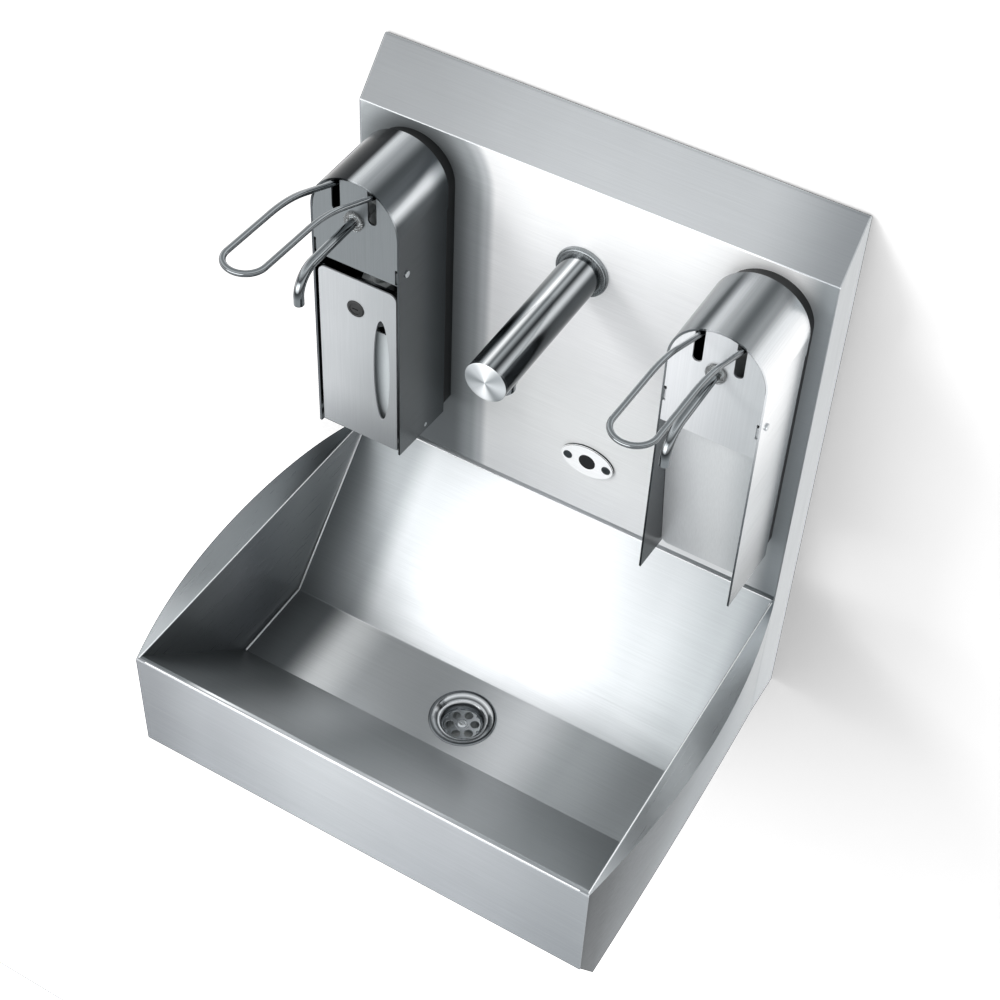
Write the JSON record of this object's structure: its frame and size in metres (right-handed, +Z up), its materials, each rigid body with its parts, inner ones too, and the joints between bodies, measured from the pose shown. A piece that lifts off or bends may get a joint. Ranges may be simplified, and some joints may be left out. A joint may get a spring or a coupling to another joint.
{
  "type": "wall-mounted hand wash sink",
  "caption": "Wall-hung stainless steel sink with splash panel, V-shaped basin, sensor spout and arm-lever soap dispensers, one with a lockable cover.",
  "frame": {"origin": "centre of the four wall bolt holes, on the wall plane, level with the basin's rim", "axes": "+X to the user's right along the wall, +Z up, the wall is the plane Y = 0 and the basin stands out toward -Y"},
  "size_m": [0.5572, 0.456, 0.7344],
  "materials": {
    "aerator_chrome": "polished",
    "apron_sheet": "brushed along the width",
    "black_rubber": "matte",
    "bottle_white": "translucent white",
    "bowl_sheet": "brushed, blended seams",
    "braided_hose": "fine braid",
    "cable_black": "matte",
    "clear_plastic": "clear, slightly grey",
    "cover_metal": "brushed upright",
    "dark_plastic": "dark grey",
    "dark_plate": "black, satin",
    "dose_tube_metal": "polished",
    "eye_black": "black, gloss",
    "fastener_steel": "bright",
    "front_plate_metal": "fine brushed",
    "guard_metal": "brushed upright",
    "housing_metal": "fine brushed",
    "lever_wire": "electropolished",
    "light_plastic": "light grey",
    "lock_black": "black, satin",
    "panel_sheet": "brushed along the width",
    "piston_steel": "ground",
    "polished_spout": "polished",
    "pump_plastic": "off-white",
    "sensor_metal": "polished",
    "side_sheet": "brushed",
    "spring_steel": "drawn",
    "waste_metal": "satin, turned",
    "yellow_brass": "turned",
    "zinc_steel": "zinc plated"
  },
  "bodies": {
    "sink": {"wall_frame": "zinc_steel", "hook_rail": "zinc_steel", "splash_panel": "panel_sheet", "side_left": "side_sheet", "side_right": "side_sheet", "basin_bowl": "bowl_sheet", "front_apron": "apron_sheet", "lower_ties": "zinc_steel", "tie_screws": "fastener_steel", "waste_flange": "waste_metal", "waste_seal": "black_rubber", "waste_nut": "light_plastic", "strainer": "waste_metal", "strainer_screw": "fastener_steel", "tail_pipe": "light_plastic", "rosette": "polished_spout", "spout_nut": "yellow_brass", "spout_tube": "polished_spout", "spout_cap": "polished_spout", "aerator": "aerator_chrome", "spout_elbow": "yellow_brass", "supply_hose": "braided_hose", "solenoid_valve": "dark_plastic", "inlet_pipe": "yellow_brass", "control_box": "light_plastic", "cables": "cable_black", "sensor_plate": "sensor_metal", "sensor_screws": "fastener_steel", "sensor_eye": "eye_black", "sensor_body": "dark_plastic", "dispenser_bolts": "fastener_steel", "housing_screws": "fastener_steel", "axles": "fastener_steel", "nipples": "clear_plastic", "back_plate_left": "dark_plate", "housing_left": "housing_metal", "front_plate_left": "front_plate_metal", "pump_left": "pump_plastic", "dose_tube_left": "dose_tube_metal", "cover_pin": "fastener_steel", "bottle": "bottle_white", "dip_tube": "bottle_white", "back_plate_right": "dark_plate", "housing_right": "housing_metal", "front_plate_right": "front_plate_metal", "pump_right": "pump_plastic", "dose_tube_right": "dose_tube_metal", "guard_right": "guard_metal"},
    "lever_left": {"lever_left": "lever_wire"},
    "lever_right": {"lever_right": "lever_wire"},
    "piston_left": {"piston_left": "piston_steel", "spring_left": "spring_steel"},
    "piston_right": {"piston_right": "piston_steel", "spring_right": "spring_steel"},
    "cover": {"cover_left": "cover_metal", "lock_sleeve": "lock_black", "lock_nut": "zinc_steel"},
    "lock": {"lock_plug": "lock_black", "lock_cam": "zinc_steel"}
  },
  "joints": [
    {"name": "lever_left_press", "type": "hinge", "parent": "sink", "child": "lever_left", "pos_m": [-0.1879, -0.085, 0.384], "axis": [1, 0, 0], "range_deg": [0, 13], "stiffness_Nm_per_rad": 3, "springref_deg": -17.19},
    {"name": "lever_right_press", "type": "hinge", "parent": "sink", "child": "lever_right", "pos_m": [0.1879, -0.085, 0.384], "axis": [1, 0, 0], "range_deg": [0, 13], "stiffness_Nm_per_rad": 3, "springref_deg": -17.19},
    {"name": "piston_left_stroke", "type": "slide", "parent": "sink", "child": "piston_left", "axis": [0, 0, -1], "range_m": [0, 0.0082], "deforming": ["spring_left"]},
    {"name": "piston_right_stroke", "type": "slide", "parent": "sink", "child": "piston_right", "axis": [0, 0, -1], "range_m": [0, 0.0082], "deforming": ["spring_right"]},
    {"name": "cover_tilt", "type": "hinge", "parent": "sink", "child": "cover", "pos_m": [-0.1879, -0.105, 0.094], "axis": [1, 0, 0], "range_deg": [0, 30]},
    {"name": "lock_turn", "type": "hinge", "parent": "cover", "child": "lock", "pos_m": [-0.1899, -0.1425, 0.267], "axis": [0, 1, 0], "range_deg": [0, 90]}
  ],
  "couplings": [
    {"joint": "piston_left_stroke", "follows": "lever_left_press", "m_per_rad": 0.0348},
    {"joint": "piston_right_stroke", "follows": "lever_right_press", "m_per_rad": 0.0348}
  ]
}
